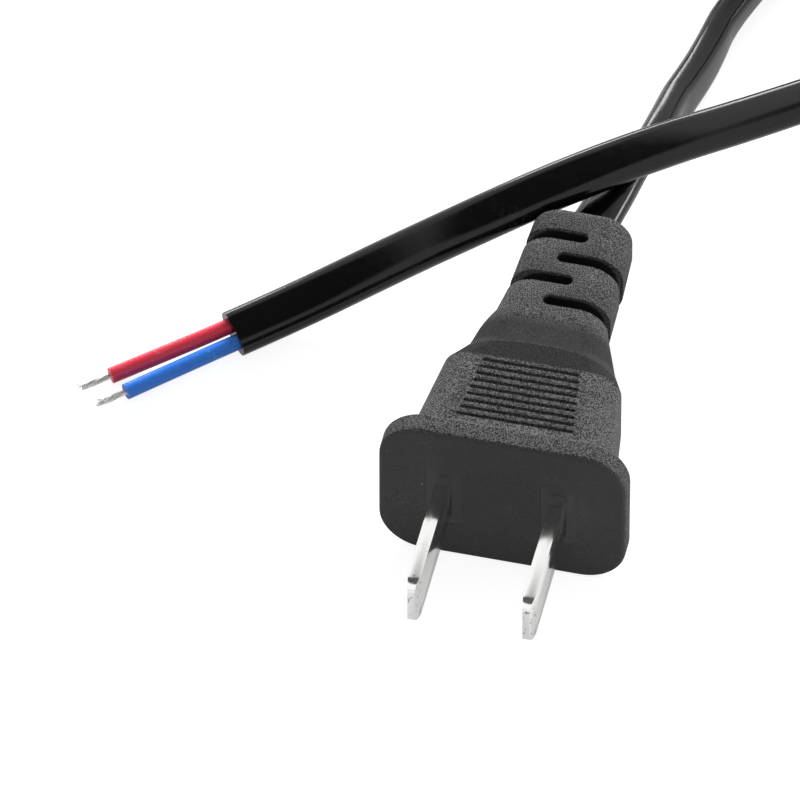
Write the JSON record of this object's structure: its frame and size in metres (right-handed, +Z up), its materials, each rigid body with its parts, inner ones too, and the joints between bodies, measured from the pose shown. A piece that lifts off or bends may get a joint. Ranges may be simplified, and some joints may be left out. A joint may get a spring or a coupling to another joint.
{
  "type": "type a plug",
  "caption": "Two flat parallel blades on a flanged black plug with a grooved grip and slotted strain relief, on a flat two-core cord with stripped bare ends.",
  "frame": {"origin": "on the surface that the plug lies on, below the middle of the plug's own box, blades and strain relief included and free cord left out", "axes": "blades towards -Y, cord towards +Y, the two blades side by side along X, +Z up with the plug's axis level"},
  "size_m": [0.0829, 0.205, 0.0192],
  "materials": {
    "body_pvc": "fine matt moulded texture, semi-matt sheen",
    "holder_plastic": "smooth hard plastic, flush with the face",
    "blade_plating": "bright nickel plate",
    "tinned_wire": "fine bare tinned strands",
    "red_insulation": "satin soft plastic",
    "blue_insulation": "satin soft plastic",
    "cord_jacket": "smooth glossy soft plastic",
    "tie_plastic": "plastic-coated wire"
  },
  "bodies": {
    "root": {"moulded_body": "body_pvc", "blade_holder": "holder_plastic", "blade_left": "blade_plating", "blade_right": "blade_plating", "conductor_red": "tinned_wire", "core_red": "red_insulation", "conductor_blue": "tinned_wire", "core_blue": "blue_insulation", "jacket_end": "cord_jacket", "cord_coil": "cord_jacket", "coil_tie": "tie_plastic", "cord_lead": "cord_jacket", "cord_return": "cord_jacket", "stripped_core_red": "red_insulation", "strands_red": "tinned_wire", "stripped_core_blue": "blue_insulation", "strands_blue": "tinned_wire"}
  },
  "joints": []
}
